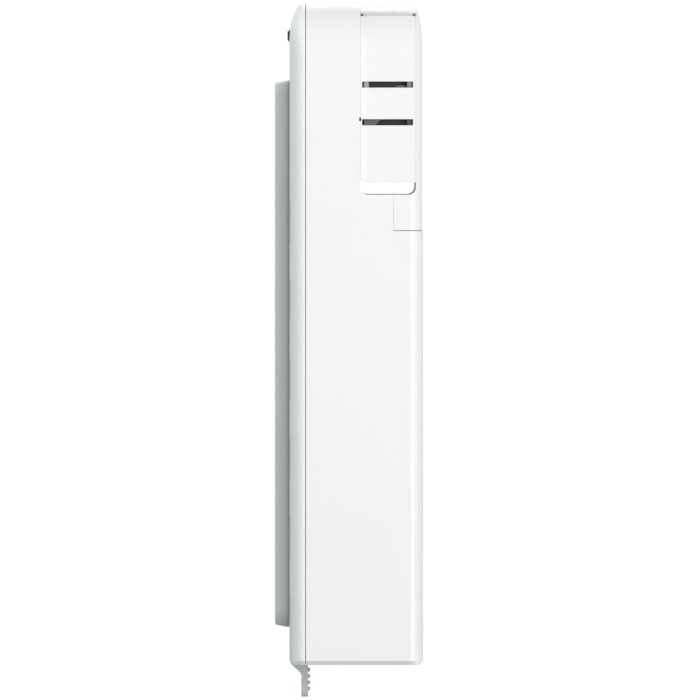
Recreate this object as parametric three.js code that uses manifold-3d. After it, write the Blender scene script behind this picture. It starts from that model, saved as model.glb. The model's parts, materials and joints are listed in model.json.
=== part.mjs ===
// A wall-hung home battery. A pressed plate screws to the wall; the unit hooks over it and a ribbed lever
// under the case locks it there. The case is a tinted rear shell and a white housing with soft edges and
// round shoulders. A louvred flap on each side, hinged at its top, covers the switches or the ports, and a
// lift-off cover closes the wiring bay. Sixteen prismatic cells, the battery management and the inverter
// sit inside.
//
// Millimetres, +Z up. "x" runs across the unit, "d" is the depth from the wall towards the room (so
// y = -d), and "z" is measured from the foot of the case. The last lines move the origin to the middle of
// the plate's back.
import * as THREE from "three";
import { mergeVertices } from "three/addons/utils/BufferGeometryUtils.js";
import Module from "manifold-3d";

const wasm = await Module();
wasm.setup();

// ---- Driving dimensions ----
const HALF_WIDTH = 280;
const HEIGHT = 928;
const SHOULDER = 72; // radius of the case's top corners, seen from the front
const FOOT = 5.6; // chamfer along the bottom edges
const GAP = 0.3; // clearance between neighbouring solids

const PLATE = { half: 200, bottom: 51, top: 819.4, depth: 20, sheet: 2.5, corner: 24 };
const REAR = { back: 20.6, front: 42.7, draw: 53, wall: 2.5 }; // draw: how far the soft edge pulls in
const SEAL = { back: 43, front: 44, inset: 0.8, width: 5 };
const HOUSING = { back: 44.3, edge: 190, front: 208.2, draw: 56, wall: 3 };
const COVER = { bottom: 608.3, back: 166.5, front: 206.8 };
// The side window; the band over its top is set in by "inset".
const BAY = { back: 120, front: 197.5, bottom: 658.9, corner: 10, inset: 5 };
const FLAP = { bottom: 675.5, sheet: 2.5, pinAngle: 55.5, pinRadius: 64, barrel: 3, openGap: 3.6 };
const SLOTS = { bottoms: [755.7, 808.5], past: [3.6, 1], height: 8.6, back: 122.4, front: 193.6 };
const LEVER = { half: 42, pivotDepth: 28, pivotZ: 14, tip: -49.9, front: 46.6, back: 37 };
const POCKET = { half: 52, top: 98, depth: 40.5, wall: 2 }; // the lever's pocket in the rear shell
const CELL = { thick: 50, deep: 118, tall: 160, back: 52, count: 8 };
const MODULES = { lower: 30, upper: 216 }; // z of each row of cells
const CELL_GAP = 0.4;

const SHOULDER_STEPS = 10;
const EDGE_STEPS = 6;
const shoulderCentre = { x: HALF_WIDTH - SHOULDER, z: HEIGHT - SHOULDER };

// ---- Materials ----
const finish = (color, roughness, metalness = 0) =>
  new THREE.MeshStandardMaterial({ color, roughness, metalness });
const WHITE = finish(0xf3f3f5, 0.35);
const MINT = finish(0xdce4e3, 0.4);
const PLATE_GREY = finish(0xaeb4b4, 0.5, 0.2);
const LEVER_GREY = finish(0xabb2b2, 0.55);
const BLACK = finish(0x1c1e1f, 0.5);
const RUBBER = finish(0x4a4e50, 0.8);
const DARK_GREY = finish(0x55585a, 0.5);
const STEEL = finish(0xb9bcbe, 0.3, 1);
const ALUMINIUM = finish(0xc9cccf, 0.4, 1);
const ZINC = finish(0xa6aaad, 0.45, 0.9);
const CELL_BLUE = finish(0x2d5f9a, 0.4);
const BOARD_GREEN = finish(0x1f5b3c, 0.5);
const COPPER = finish(0xc27a4a, 0.3, 1);
const RED = finish(0xb3261e, 0.5);
const LIGHT_PIPE = finish(0xd8f2ea, 0.2);
const BRASS = finish(0xc9a24a, 0.35, 1);

// ---- Solids ----
function solid(geometry) {
  const bare = new THREE.BufferGeometry().setAttribute("position", geometry.getAttribute("position"));
  if (geometry.index) bare.setIndex(geometry.index);
  const merged = mergeVertices(bare, 1e-4);
  return new wasm.Manifold(
    new wasm.Mesh({
      numProp: 3,
      vertProperties: merged.attributes.position.array,
      triVerts: new Uint32Array(merged.index.array),
    }),
  );
}

function geometryOf(shape) {
  const mesh = shape.getMesh();
  return new THREE.BufferGeometry()
    .setAttribute("position", new THREE.BufferAttribute(mesh.vertProperties, 3))
    .setIndex(new THREE.BufferAttribute(mesh.triVerts, 1));
}

function box(x0, x1, d0, d1, z0, z1) {
  const geometry = new THREE.BoxGeometry(x1 - x0, d1 - d0, z1 - z0);
  return solid(geometry.translate((x0 + x1) / 2, -(d0 + d1) / 2, (z0 + z1) / 2));
}

const polygon = (points) => new THREE.Shape(points.map(([a, b]) => new THREE.Vector2(a, b)));

// A shape drawn in (x, z), extruded through the depth.
function frontPrism(shape, d0, d1, curveSegments = 8) {
  const geometry = new THREE.ExtrudeGeometry(shape, { depth: d1 - d0, bevelEnabled: false, curveSegments });
  return solid(geometry.translate(0, 0, d0).rotateX(Math.PI / 2));
}

// A shape drawn in (d, z), extruded across the unit.
function sidePrism(shape, x0, x1, curveSegments = 8) {
  const geometry = new THREE.ExtrudeGeometry(shape, { depth: x1 - x0, bevelEnabled: false, curveSegments });
  const turn = new THREE.Matrix4().makeBasis(
    new THREE.Vector3(0, -1, 0),
    new THREE.Vector3(0, 0, 1),
    new THREE.Vector3(-1, 0, 0),
  );
  return solid(geometry.translate(0, 0, -x1).applyMatrix4(turn));
}

function rodAlongX(x0, x1, d, z, radius, segments = 16) {
  const geometry = new THREE.CylinderGeometry(radius, radius, x1 - x0, segments).rotateZ(Math.PI / 2);
  return solid(geometry.translate((x0 + x1) / 2, -d, z));
}

function rodAlongDepth(d0, d1, x, z, radius, segments = 16) {
  const geometry = new THREE.CylinderGeometry(radius, radius, d1 - d0, segments);
  return solid(geometry.translate(x, -(d0 + d1) / 2, z));
}

const join = (...shapes) => shapes.reduce((a, b) => a.add(b));
const mirrorX = (shape) => shape.mirror([1, 0, 0]);

// A closed body through outlines that all have the same number of points, each [x, z] at its own depth.
function loft(sections) {
  const count = sections[0].outline.length;
  const positions = [];
  const index = [];
  for (const { d, outline } of sections) for (const [x, z] of outline) positions.push(x, -d, z);
  for (let s = 0; s + 1 < sections.length; s++) {
    for (let k = 0; k < count; k++) {
      const a = s * count + k;
      const b = s * count + ((k + 1) % count);
      index.push(a, b, b + count, a, b + count, a + count);
    }
  }
  const cap = ({ d, outline }, start, facesRoom) => {
    const centre = positions.length / 3;
    const top = Math.max(...outline.map((p) => p[1]));
    const bottom = Math.min(...outline.map((p) => p[1]));
    positions.push(0, -d, (top + bottom) / 2);
    for (let k = 0; k < count; k++) {
      const a = start + k;
      const b = start + ((k + 1) % count);
      index.push(centre, facesRoom ? a : b, facesRoom ? b : a);
    }
  };
  cap(sections[0], 0, false);
  cap(sections.at(-1), (sections.length - 1) * count, true);
  const geometry = new THREE.BufferGeometry();
  geometry.setAttribute("position", new THREE.Float32BufferAttribute(positions, 3)).setIndex(index);
  return solid(geometry);
}

// ---- Outlines of the case ----
// The case seen from the front, drawn in from its full size: round shoulders, a chamfered foot.
function caseOutline(inset, lift = 0) {
  const half = HALF_WIDTH - inset;
  const radius = SHOULDER - inset;
  const points = [];
  for (const side of [1, -1]) {
    for (let i = 0; i <= SHOULDER_STEPS; i++) {
      const share = side > 0 ? i / SHOULDER_STEPS : 1 - i / SHOULDER_STEPS;
      const angle = (share * Math.PI) / 2;
      const x = shoulderCentre.x + radius * Math.cos(angle);
      points.push([side * x, shoulderCentre.z + radius * Math.sin(angle)]);
    }
  }
  points.push([-half, lift + FOOT], [-half + FOOT, lift], [half - FOOT, lift], [half, lift + FOOT]);
  return points;
}

const casePrism = (inset, d0, d1, lift = inset) =>
  loft([
    { d: d0, outline: caseOutline(inset, lift) },
    { d: d1, outline: caseOutline(inset, lift) },
  ]);

// The body whose front edge is a soft quarter ellipse, and whose outside is drawn in by "wall".
function frontBody(back, front, wall) {
  const face = front - wall;
  const sections = [{ d: back, outline: caseOutline(wall, wall) }];
  for (let i = 0; i <= EDGE_STEPS; i++) {
    const angle = ((i / EDGE_STEPS) * Math.PI) / 2;
    const d = HOUSING.edge + (face - HOUSING.edge) * Math.sin(angle);
    const inset = wall + HOUSING.draw * (1 - Math.cos(angle));
    sections.push({ d, outline: caseOutline(inset, wall + Math.max(0, FOOT - (face - d))) });
  }
  return loft(sections);
}

// The rear shell's body: a quarter ellipse from the flat back out to the full outline at the seam.
function rearBody(wall, front) {
  const back = REAR.back + wall;
  const sections = [];
  for (let i = 0; i <= EDGE_STEPS; i++) {
    const angle = ((i / EDGE_STEPS) * Math.PI) / 2;
    const d = REAR.front - (REAR.front - back) * Math.cos(angle);
    const inset = wall + REAR.draw * (1 - Math.sin(angle));
    sections.push({ d, outline: caseOutline(inset, wall + Math.max(0, FOOT - (d - back))) });
  }
  if (front > REAR.front) sections.push({ d: front, outline: caseOutline(wall, wall) });
  return loft(sections);
}

const ring = (outer, inner, d0, d1) => casePrism(outer, d0, d1).subtract(casePrism(inner, d0 - 1, d1 + 1));

// Everything above the two radial lines at "angle" through the shoulder centres.
function crown(angle, d0, d1) {
  const far = 120;
  const near = 30;
  const direction = [Math.cos(THREE.MathUtils.degToRad(angle)), Math.sin(THREE.MathUtils.degToRad(angle))];
  const at = (side, reach) => [
    side * (shoulderCentre.x + reach * direction[0]),
    shoulderCentre.z + reach * direction[1],
  ];
  return frontPrism(polygon([at(1, near), at(1, far), at(-1, far), at(-1, near)]), d0, d1);
}

// The side window's outline in (d, z): open upwards, with round lower corners.
function windowPrism(back, front, x0, x1) {
  const { bottom, corner } = BAY;
  const top = HEIGHT + 20;
  const shape = new THREE.Shape();
  shape.moveTo(back, top);
  shape.lineTo(back, bottom + corner);
  shape.absarc(back + corner, bottom + corner, corner, Math.PI, Math.PI * 1.5);
  shape.lineTo(front - corner, bottom);
  shape.absarc(front - corner, bottom + corner, corner, Math.PI * 1.5, Math.PI * 2);
  shape.lineTo(front, top);
  return sidePrism(shape, x0, x1, 5);
}

// Where a flap's hinge pin runs, in (x, z), on the +x side.
const pinAngle = THREE.MathUtils.degToRad(FLAP.pinAngle);
const flapPin = {
  x: shoulderCentre.x + FLAP.pinRadius * Math.cos(pinAngle),
  z: shoulderCentre.z + FLAP.pinRadius * Math.sin(pinAngle),
};
const gapAngle = THREE.MathUtils.radToDeg(FLAP.openGap / FLAP.pinRadius);
const bandStart = FLAP.pinAngle + gapAngle; // the fixed band over the top starts here
const panelEnd = FLAP.pinAngle - gapAngle; // and the flap's panel ends here

// ---- The assembly ----
const unit = new THREE.Group();
unit.name = "wall_battery_unit";

function add(name, shape, material) {
  const mesh = new THREE.Mesh(geometryOf(shape), material);
  mesh.name = name;
  unit.add(mesh);
}

// ---- Wall plate and hooks ----
function plateOutline(inset) {
  const shape = [];
  const half = PLATE.half - inset;
  const radius = PLATE.corner - inset;
  const corners = [
    [half - radius, PLATE.top - inset - radius, 0],
    [-half + radius, PLATE.top - inset - radius, 1],
    [-half + radius, PLATE.bottom + inset + radius, 2],
    [half - radius, PLATE.bottom + inset + radius, 3],
  ];
  const steps = 5;
  for (const [x, z, quarter] of corners) {
    for (let i = 0; i <= steps; i++) {
      const angle = (quarter + i / steps) * (Math.PI / 2);
      shape.push([x + radius * Math.cos(angle), z + radius * Math.sin(angle)]);
    }
  }
  return shape;
}

const HANGER = { z: 690, half: 170, shelf: 4, lipBack: 9, lipFront: 12, lipTop: 712 };
const LEDGE = { half: 38, bottom: 80, top: 84, front: 16 };
const BOLT = { x: 150, zs: [110, 770], radius: 5 };

function wallPlate() {
  const { depth, sheet } = PLATE;
  const outside = loft([
    { d: 0, outline: plateOutline(7) },
    { d: 1.5, outline: plateOutline(4) },
    { d: 4.5, outline: plateOutline(2.8) },
    { d: depth, outline: plateOutline(0) },
  ]);
  const inside = loft([
    { d: sheet, outline: plateOutline(7) },
    { d: sheet + 2.5, outline: plateOutline(2.8 + sheet) },
    { d: depth + 1, outline: plateOutline(sheet) },
  ]);
  const { half, z, lipBack, lipFront, lipTop } = HANGER;
  const shelf = box(-half, half, sheet - 0.5, lipFront, z, z + HANGER.shelf);
  const lip = box(-half, half, lipBack, lipFront, z, lipTop);
  const ledge = box(-LEDGE.half, LEDGE.half, sheet - 0.5, LEDGE.front, LEDGE.bottom, LEDGE.top);
  let plate = join(outside.subtract(inside), shelf, lip, ledge);
  for (const x of [-BOLT.x, BOLT.x]) {
    for (const height of BOLT.zs) {
      plate = plate.subtract(rodAlongDepth(-1, sheet + 1, x, height, BOLT.radius, 12));
    }
  }
  return plate;
}

const HOOK = { inner: 90, outer: 150 };

// A hook on the rear shell that drops behind the plate's lip.
function hangerHook(x0, x1) {
  const face = REAR.back - GAP;
  const flange = 3;
  const tongue = [HANGER.lipBack - GAP - 3, HANGER.lipBack - GAP];
  const underside = HANGER.lipTop + GAP;
  const profile = polygon([
    [face, HANGER.z - 10],
    [face, underside + 45],
    [face - flange, underside + 45],
    [face - flange, underside + 5],
    [tongue[0], underside + 5],
    [tongue[0], HANGER.z + HANGER.shelf + GAP],
    [tongue[1], HANGER.z + HANGER.shelf + GAP],
    [tongue[1], underside],
    [face - flange, underside],
    [face - flange, HANGER.z - 10],
  ]);
  return sidePrism(profile, x0, x1);
}

// ---- Rear shell ----
const CASE_SCREW = { x: 185, z: 75, radius: 2.6, head: 6, tip: 50.5 }; // hidden behind the wall plate
const PLUG = { x: 205, z: 882, radius: 8.4, depth: 0.8 };
const AIR_POCKET = { tall: 55.6, pitch: 111, first: 38, count: 6, depth: 2.3, inner: 228 };
const leverPivotRadius = 3;

function rearShell() {
  const rim = ring(1, 12, REAR.front - 2, REAR.front);
  const bowl = rearBody(0, REAR.front).subtract(rearBody(REAR.wall, REAR.front + 1));
  const outer = POCKET.half + POCKET.wall;
  const pocketFloor = POCKET.depth + POCKET.wall - GAP;
  const pocketBlock = box(-outer, outer, REAR.back + 1, pocketFloor, 1, POCKET.top + POCKET.wall);
  const pocketSpace = box(-POCKET.half, POCKET.half, REAR.back - 1, POCKET.depth, -1, POCKET.top);
  let shell = join(bowl, rim, pocketBlock).subtract(pocketSpace);
  const pinHole = leverPivotRadius + GAP;
  shell = shell.subtract(rodAlongX(-outer - 1, outer + 1, LEVER.pivotDepth, LEVER.pivotZ, pinHole, 12));
  for (const side of [-1, 1]) {
    for (let i = 0; i < AIR_POCKET.count; i++) {
      const z = AIR_POCKET.first + i * AIR_POCKET.pitch;
      const low = i === 0 ? -1 : z; // the lowest pocket runs out at the foot
      const xs = [side * AIR_POCKET.inner, side * HALF_WIDTH].sort((a, b) => a - b);
      const floor = REAR.back + AIR_POCKET.depth;
      shell = shell.subtract(box(...xs, REAR.back - 1, floor, low, z + AIR_POCKET.tall));
    }
    shell = shell.subtract(
      rodAlongDepth(REAR.back - 1, 30, side * CASE_SCREW.x, CASE_SCREW.z, CASE_SCREW.radius + GAP, 12),
    );
    shell = shell.subtract(rodAlongDepth(REAR.back - 1, 40, side * PLUG.x, PLUG.z, PLUG.radius - 2, 12));
  }
  return shell;
}

function caseScrew(x) {
  const { z, radius } = CASE_SCREW;
  const face = REAR.back - GAP;
  const head = rodAlongDepth(face - 2.6, face, x, z, CASE_SCREW.head, 12);
  const slot = rodAlongDepth(face - 3, face - 1.2, x, z, 2.6, 6);
  const shank = rodAlongDepth(face - 0.5, CASE_SCREW.tip, x, z, radius, 12);
  return join(head, shank).subtract(slot);
}

// A rubber plug in the hole for a lifting eye, standing a little off the curved shoulder of the shell.
function rearPlug(x) {
  const stem = rodAlongDepth(PLUG.depth + 17, REAR.back + 6, x, PLUG.z, PLUG.radius - 2.4, 12);
  const cap = rodAlongDepth(REAR.back - PLUG.depth, REAR.back + 3.2, x, PLUG.z, PLUG.radius, 16);
  return join(cap.subtract(rearBody(-GAP, REAR.front)), stem);
}

// ---- Release lever ----
const NECK = { back: 21.2, top: 1, bottom: -20.8, steps: 8 }; // the soft bend from the pocket to the blade
const RIDGE = { d: 47.8, radius: 1.9, first: -12.7, pitch: 8.9, count: 4, margin: 6 };

// The lever's rear edge eases forward from the pocket's back to the blade's back.
function neckCurve() {
  const points = [];
  for (let i = NECK.steps; i >= 0; i--) {
    const share = i / NECK.steps;
    const ease = (1 - Math.cos(share * Math.PI)) / 2;
    points.push([NECK.back + (LEVER.back - NECK.back) * ease, NECK.top + (NECK.bottom - NECK.top) * share]);
  }
  return points;
}

function releaseLever() {
  const { half, front, tip, pivotDepth, pivotZ } = LEVER;
  const catchNose = [
    [22.5, 8.5],
    [22.5, 68],
    [12, 75],
    [12, 78.5],
    [22.5, 78.5],
    [22.5, 86],
    [29, 86],
  ];
  const frontEdge = [
    [29, 26],
    [35, 20],
    [35, 8],
    [38.8, 0.5],
    [38.8, -3.2],
    [43.8, -4.6],
    [45.5, -7],
    [front, -10.2],
    [front, tip],
    [LEVER.back, tip],
  ];
  let lever = sidePrism(polygon([...catchNose, ...frontEdge, ...neckCurve()]), -half, half);
  for (let i = 0; i < RIDGE.count; i++) {
    const z = RIDGE.first - i * RIDGE.pitch;
    lever = lever.add(rodAlongX(-half + RIDGE.margin, half - RIDGE.margin, RIDGE.d, z, RIDGE.radius, 12));
  }
  const corner = 9;
  const top = 100;
  const blade = new THREE.Shape();
  blade.moveTo(-half - 1, top);
  blade.lineTo(-half - 1, 0);
  blade.lineTo(-half, 0);
  blade.lineTo(-half, tip + corner);
  blade.absarc(-half + corner, tip + corner, corner, Math.PI, Math.PI * 1.5);
  blade.absarc(half - corner, tip + corner, corner, Math.PI * 1.5, Math.PI * 2);
  blade.lineTo(half, 0);
  blade.lineTo(half + 1, 0);
  blade.lineTo(half + 1, top);
  lever = lever.intersect(frontPrism(blade, 0, 70, 4));
  return lever.subtract(rodAlongX(-half - 1, half + 1, pivotDepth, pivotZ, leverPivotRadius + GAP, 12));
}

class Coil extends THREE.Curve {
  constructor(turns, radius, pitch) {
    super();
    Object.assign(this, { turns, radius, pitch });
  }

  getPoint(t, target = new THREE.Vector3()) {
    const angle = t * this.turns * Math.PI * 2;
    const along = t * this.turns * this.pitch;
    return target.set(along, this.radius * Math.cos(angle), this.radius * Math.sin(angle));
  }
}

function leverSpring() {
  const wire = 0.8;
  const coil = new Coil(3.5, 4.6, 2.1);
  const section = new THREE.Shape().absarc(0, 0, wire, 0, Math.PI * 2);
  const geometry = new THREE.ExtrudeGeometry(section, { steps: 35, curveSegments: 3, extrudePath: coil });
  return solid(geometry.translate(LEVER.half + 1.6, -LEVER.pivotDepth, LEVER.pivotZ));
}

// ---- Housing, seal and cover ----
function band(d0, d1) {
  return ring(BAY.inset, BAY.inset + HOUSING.wall, d0, d1).intersect(crown(bandStart, d0 - 1, d1 + 1));
}

const wide = HALF_WIDTH + 20;

const JAMB = { thick: 3, deep: 20 };
const STOP_SLOT = { bottom: 761.7, top: 766.5, wide: 1.6 };

// A short slot through the jamb for the tongue that stops the flap.
function flapStopSlot(side) {
  const xs = [side * (HALF_WIDTH - JAMB.deep - 1), side * wide].sort((a, b) => a - b);
  return box(...xs, BAY.back - STOP_SLOT.wide, BAY.back + 1, STOP_SLOT.bottom, STOP_SLOT.top);
}

function mainHousing() {
  const { back, front, wall } = HOUSING;
  const shell = frontBody(back, front, 0).subtract(frontBody(back - 1, front, wall));
  const flange = ring(1, 12, back, back + 2);
  const coverZone = box(-wide, wide, COVER.back - GAP, front + 1, COVER.bottom - GAP * 2, HEIGHT + 1);
  const jamb = ring(1, JAMB.deep, BAY.back - JAMB.thick, BAY.back).intersect(
    box(-wide, wide, BAY.back - JAMB.thick - 1, BAY.back + 1, BAY.bottom - 8, HEIGHT + 1),
  );
  const body = join(
    join(shell, flange).subtract(coverZone).subtract(windowPrism(BAY.back, front, -wide, wide)),
    jamb,
    band(BAY.back - 1, COVER.back - GAP),
  );
  return body.subtract(flapStopSlot(1)).subtract(flapStopSlot(-1));
}

function upperCover() {
  const { wall } = HOUSING;
  const { bottom, back, front } = COVER;
  const zone = box(-wide, wide, back, front + 1, bottom, HEIGHT + 1);
  const shell = frontBody(100, front, 0).subtract(frontBody(99, front, wall)).intersect(zone);
  const ear = (x0, x1) => {
    const { d, z, radius, reach } = EAR_SCREW;
    const slot = box(x0 - 1, x1 + 1, d - reach, d + radius + GAP, z - radius - GAP, z + radius + GAP);
    return box(x0, x1, d - reach + 1, 200.5, z - 10, z + 10).subtract(slot);
  };
  const opened = shell.subtract(windowPrism(BAY.back, BAY.front, -wide, wide));
  const lightSlot = box(-LIGHT.half, LIGHT.half, front - 8, front + 1, LIGHT.bottom, LIGHT.top);
  const ears = [ear(EAR.inner, EAR.outer), ear(-EAR.outer, -EAR.inner)];
  return join(opened, band(back, BAY.front + 1), ...ears).subtract(lightSlot);
}

const LIGHT = { half: 45, bottom: 641, top: 645 };
const EAR = { inner: 259, outer: 261.5 }; // the cover's slotted ears stand just outside the side brackets
const EAR_SCREW = { d: 151, z: 856, radius: 2.4, head: 5, reach: 7 };

function statusLight() {
  const lens = box(
    -LIGHT.half + GAP,
    LIGHT.half - GAP,
    COVER.front - 7,
    COVER.front - 0.2,
    LIGHT.bottom + GAP,
    LIGHT.top - GAP,
  );
  const footHalf = LIGHT.half + 6;
  const foot = box(-footHalf, footHalf, COVER.front - 7, COVER.front - 3.4, LIGHT.bottom - 4, LIGHT.top + 4);
  return join(lens, foot);
}

// A screw driven from the side, reached with the flap open; the cover's ear slides off it.
function earScrew() {
  const { d, z, radius } = EAR_SCREW;
  const headBack = EAR.outer + GAP;
  const headFront = headBack + 2.8;
  const shank = rodAlongX(250, headBack + 0.2, d, z, radius, 12);
  const head = rodAlongX(headBack, headFront, d, z, EAR_SCREW.head, 12);
  const socket = rodAlongX(headFront - 1.4, headFront + 0.4, d, z, 2.4, 6);
  return join(shank, head).subtract(socket);
}

// ---- Flaps and their hinges, drawn for the +x side ----
const FLAP_BACK = BAY.back + 0.9;
const FLAP_FRONT = BAY.front - 1;
const LUG = 3; // thickness of each hinge lug, at the two ends of the pin
const RIB = {
  spans: [
    [125, 131.7],
    [185.5, 192],
  ],
  tall: 5,
  bottom: 738,
  gusset: [
    [129, 744],
    [152, 767],
    [129, 767],
  ],
};

function sector(angle0, angle1, d0, d1) {
  const far = 400;
  const rad = THREE.MathUtils.degToRad;
  const { x, z } = shoulderCentre;
  const outward = (angle) => [x + far * Math.cos(rad(angle)), z + far * Math.sin(rad(angle))];
  const low = angle0 === 0 ? [x + far, FLAP.bottom] : outward(angle0);
  const start = angle0 === 0 ? [x, FLAP.bottom] : [x, z];
  const high = outward(angle1);
  return frontPrism(polygon([start, low, high, [x, z]]), d0, d1);
}

function flap() {
  const { barrel, sheet } = FLAP;
  const inner = BAY.inset + sheet;
  const skin = ring(BAY.inset, inner, FLAP_BACK, FLAP_FRONT);
  const panel = skin.intersect(sector(0, panelEnd, FLAP_BACK, FLAP_FRONT));
  const knuckle = { back: FLAP_BACK + LUG + GAP, front: FLAP_FRONT - LUG - GAP };
  const neck = skin.intersect(sector(panelEnd - 2, FLAP.pinAngle, knuckle.back, knuckle.front));
  const roll = rodAlongDepth(knuckle.back, knuckle.front, flapPin.x, flapPin.z, barrel, 12);
  let shape = join(panel, neck, roll);
  for (const [d0, d1] of RIB.spans) {
    const rib = ring(inner - 0.5, inner + RIB.tall, d0, d1).intersect(sector(0, panelEnd - 6, d0, d1));
    shape = shape.add(rib.intersect(box(0, wide, d0, d1, RIB.bottom, HEIGHT)));
  }
  shape = shape.add(sidePrism(polygon(RIB.gusset), HALF_WIDTH - inner - RIB.tall, HALF_WIDTH - inner + 0.5));
  SLOTS.bottoms.forEach((z, i) => {
    const depth = HALF_WIDTH - inner - SLOTS.past[i];
    shape = shape.subtract(box(depth, wide, SLOTS.back, SLOTS.front, z, z + SLOTS.height));
  });
  const nick = 6; // the chamfer at the foot of the flap's wall-side edge
  const corner = polygon([
    [FLAP_BACK - 1, FLAP.bottom - 1],
    [FLAP_BACK + nick, FLAP.bottom - 1],
    [FLAP_BACK + nick, FLAP.bottom],
    [FLAP_BACK, FLAP.bottom + nick],
    [FLAP_BACK - 1, FLAP.bottom + nick],
  ]);
  shape = shape.subtract(sidePrism(corner, 0, wide));
  return shape.subtract(rodAlongDepth(BAY.back, BAY.front, flapPin.x, flapPin.z, PIN_RADIUS + GAP, 10));
}

const PIN_RADIUS = 1.6;
const flapPinRod = () =>
  rodAlongDepth(FLAP_BACK + 0.2, FLAP_FRONT - 0.2, flapPin.x, flapPin.z, PIN_RADIUS, 10);

// A dark rail under the top band, with a lug at each end that holds the flap's pin.
function hingeRail() {
  const outer = BAY.inset + HOUSING.wall + GAP;
  const inner = BAY.inset + HOUSING.wall + 6;
  const rail = ring(outer, inner, FLAP_BACK, FLAP_FRONT).intersect(
    sector(bandStart + 0.5, 80, FLAP_BACK, FLAP_FRONT),
  );
  const ends = [
    [FLAP_BACK, FLAP_BACK + LUG],
    [FLAP_FRONT - LUG, FLAP_FRONT],
  ];
  let shape = rail;
  for (const [d0, d1] of ends) {
    const boss = rodAlongDepth(d0, d1, flapPin.x, flapPin.z, FLAP.barrel, 12);
    const web = ring(outer, inner, d0, d1).intersect(sector(panelEnd + 0.5, bandStart + 2, d0, d1));
    shape = join(shape, boss, web);
  }
  return shape.subtract(rodAlongDepth(BAY.back, BAY.front, flapPin.x, flapPin.z, PIN_RADIUS + GAP, 10));
}

// ---- Wiring bay ----
const BULKHEAD = { back: 114.7, front: 116.7, half: 258, bottom: 600, top: 880 };
const TRAY = { front: 198, thick: 2 };

function wiringTray() {
  const { back, front, half, bottom, top } = BULKHEAD;
  const wall = box(-half, half, back, front, bottom, top);
  const floor = box(-half, half, back, TRAY.front, bottom, bottom + TRAY.thick);
  return join(wall, floor);
}

const BRACKET = {
  inner: 235,
  outer: 257,
  sheet: 2,
  back: 117.1,
  front: 196,
  bottom: 693,
  footBottom: 700,
  top: 866,
};

// A side bracket in the bay, drawn for the +x side: a plate behind the flap with a foot on the bulkhead.
function sideBracket() {
  const { inner, outer, sheet, back, front, bottom, footBottom, top } = BRACKET;
  const foot = box(inner, outer, back, back + sheet, footBottom, top);
  const plate = box(outer - sheet, outer, back, front, bottom, top);
  const screwHole = rodAlongX(outer - 7, outer + 3, EAR_SCREW.d, EAR_SCREW.z, EAR_SCREW.radius + GAP, 12);
  return join(foot, plate).subtract(screwHole);
}

const KNOB = {
  d: 177,
  z: 793.4,
  radius: 18.5,
  face: 263,
  back: 257.6,
  grip: 266.8,
  gripHalf: 5,
  spindle: 5,
  end: 252,
};
const BUTTON = { d: 158, z: 716, radius: 7, stem: 5, face: 264, back: 259.8, end: 246 };

// The switch plate sits on the -x side, behind the flap shown with its louvres.
function switchPlate() {
  const { outer } = BRACKET;
  return mirrorX(sideBracket())
    .subtract(rodAlongX(-outer - 3, -outer + 7, KNOB.d, KNOB.z, KNOB.spindle + 3, 12))
    .subtract(rodAlongX(-outer - 3, -outer + 7, BUTTON.d, BUTTON.z, BUTTON.stem + GAP, 12));
}

function isolatorKnob() {
  const { d, z, radius, face, back, grip, gripHalf, spindle, end } = KNOB;
  const dial = rodAlongX(-face, -back, d, z, radius, 24);
  const bar = box(-grip, -face + 0.5, d - gripHalf, d + gripHalf, z - radius + 2, z + radius - 2);
  return join(dial, bar, rodAlongX(-back - 0.4, -end, d, z, spindle, 12));
}

const ISOLATOR = { outer: 254.6, inner: 200, behind: 38, before: 16, half: 42 };
const CABLE_PORT = { inner: 226, outer: 240, long: 12, deep: 4 };

// The isolator's block, with two cable ports in its top and two in its foot.
function isolatorBody() {
  const { d, z } = KNOB;
  const back = d - ISOLATOR.behind;
  const front = d + ISOLATOR.before;
  const [low, high] = [z - ISOLATOR.half, z + ISOLATOR.half];
  let body = box(-ISOLATOR.outer, -ISOLATOR.inner, back, front, low, high);
  body = body.subtract(rodAlongX(-ISOLATOR.outer - 1, -KNOB.end + 2, d, z, KNOB.spindle + 0.4, 12));
  const { inner, outer, long, deep } = CABLE_PORT;
  for (const port of [back + 6, front - 6 - long]) {
    body = body.subtract(box(-outer, -inner, port, port + long, low - 1, low + deep));
    body = body.subtract(box(-outer, -inner, port, port + long, high - deep, high + 1));
  }
  return body;
}

function powerButton() {
  const { d, z, radius, stem, face, back, end } = BUTTON;
  return join(rodAlongX(-face, -back, d, z, radius, 16), rodAlongX(-back - 0.2, -end, d, z, stem, 12));
}

const PORTS = { inner: 212, outer: 256, back: 132, front: 184, bottom: 715, top: 850 };
const DATA_PORT = { zs: [728, 752, 776], tall: 14, back: 138, front: 154, floor: 246 };
const MAINS_PORT = { bottom: 802, top: 840, back: 140, front: 176, floor: 243 };

// The ports sit on the +x side, in a block sunk through their bracket: three for data, one for the mains.
function portPanel() {
  const { inner, outer, back, front, bottom, top } = PORTS;
  const face = BRACKET.outer + 1;
  let panel = sideBracket().add(box(inner, outer, back, front, bottom, top));
  for (const z of DATA_PORT.zs) {
    const hole = box(DATA_PORT.floor, face, DATA_PORT.back, DATA_PORT.front, z, z + DATA_PORT.tall);
    panel = panel.subtract(hole);
  }
  const mains = MAINS_PORT;
  return panel.subtract(box(mains.floor, face, mains.back, mains.front, mains.bottom, mains.top));
}

const TERMINALS = { half: 60, front: 152, bottom: 720, top: 772, count: 5, pitch: 23 };
const TERMINAL_SCREW = { z: 758, radius: 5, floor: 142 };
const TERMINAL_MOUTH = { half: 7, floor: 136, top: 735 };

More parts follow.
